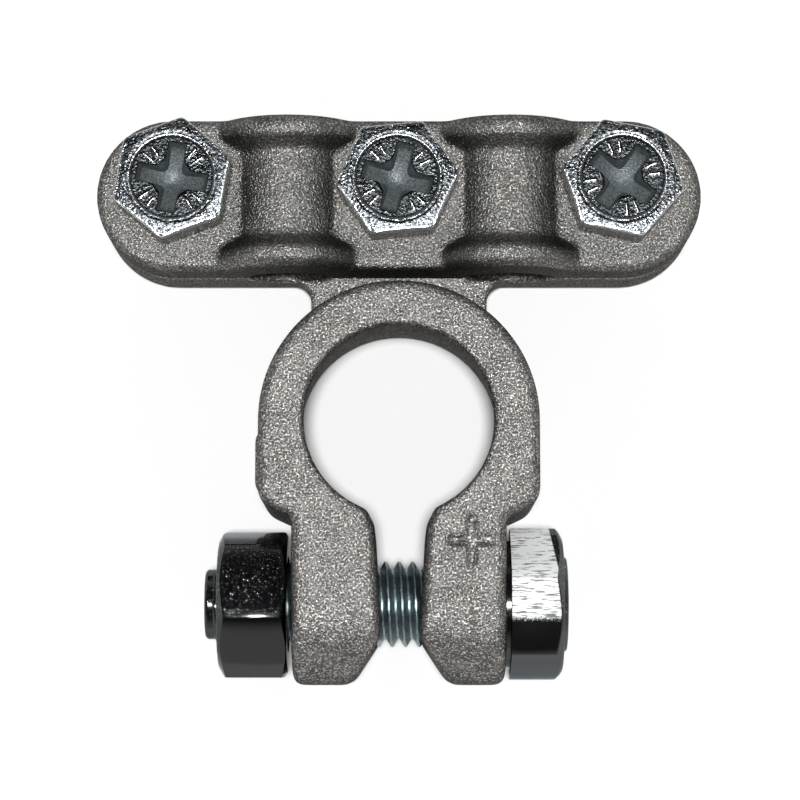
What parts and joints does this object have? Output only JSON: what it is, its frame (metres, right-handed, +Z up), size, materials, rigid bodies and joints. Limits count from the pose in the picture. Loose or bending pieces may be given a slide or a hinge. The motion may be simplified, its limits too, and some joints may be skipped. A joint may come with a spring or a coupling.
{
  "type": "battery terminal clamp",
  "caption": "Cast battery post clamp with a split tapered ring, a pinch bolt with nut, and a screwed clamp plate with two cable arches.",
  "frame": {"origin": "on the battery post's axis, in the plane of the clamp's underside", "axes": "+Z up along the post's axis, +X along the cable bar and the pinch bolt towards the bolt's head, +Y from the ring to the cable bar"},
  "size_m": [0.0568, 0.0529, 0.015],
  "materials": {
    "cast_zinc": "grainy die cast zinc alloy, unpainted",
    "zinc_plated_steel": "bright zinc plating",
    "plated_bolt_steel": "smooth zinc plating"
  },
  "bodies": {
    "casting": {"terminal_casting": "cast_zinc"},
    "plate": {"cable_clamp_plate": "cast_zinc"},
    "screw_left": {"cable_screw_left": "zinc_plated_steel"},
    "screw_centre": {"cable_screw_centre": "zinc_plated_steel"},
    "screw_right": {"cable_screw_right": "zinc_plated_steel"},
    "bolt": {"pinch_bolt": "plated_bolt_steel"},
    "nut": {"pinch_nut": "plated_bolt_steel"}
  },
  "joints": [
    {"name": "plate_lift", "type": "slide", "parent": "casting", "child": "plate", "axis": [0, 0, 1], "range_m": [0, 0.003]},
    {"name": "screw_left_turn", "type": "hinge", "parent": "plate", "child": "screw_left", "pos_m": [-0.021, 0.02245, 0.0108], "axis": [0, 0, 1], "range_deg": [0, 1080]},
    {"name": "screw_centre_turn", "type": "hinge", "parent": "plate", "child": "screw_centre", "pos_m": [-0.00015, 0.02245, 0.0108], "axis": [0, 0, 1], "range_deg": [0, 1080]},
    {"name": "screw_right_turn", "type": "hinge", "parent": "plate", "child": "screw_right", "pos_m": [0.0207, 0.02245, 0.0108], "axis": [0, 0, 1], "range_deg": [0, 1080]},
    {"name": "bolt_turn", "type": "hinge", "parent": "casting", "child": "bolt", "pos_m": [0, -0.0166, 0.00751], "axis": [1, 0, 0], "range_deg": [-90, 1080]},
    {"name": "nut_travel", "type": "slide", "parent": "casting", "child": "nut", "axis": [-1, 0, 0], "range_m": [-0.00031, 0.00375]}
  ],
  "couplings": [
    {"joint": "screw_left_turn", "follows": "plate_lift", "rad_per_m": 6283.2},
    {"joint": "screw_centre_turn", "follows": "plate_lift", "rad_per_m": 6283.2},
    {"joint": "screw_right_turn", "follows": "plate_lift", "rad_per_m": 6283.2},
    {"joint": "nut_travel", "follows": "bolt_turn", "m_per_rad": 0.00019894}
  ]
}
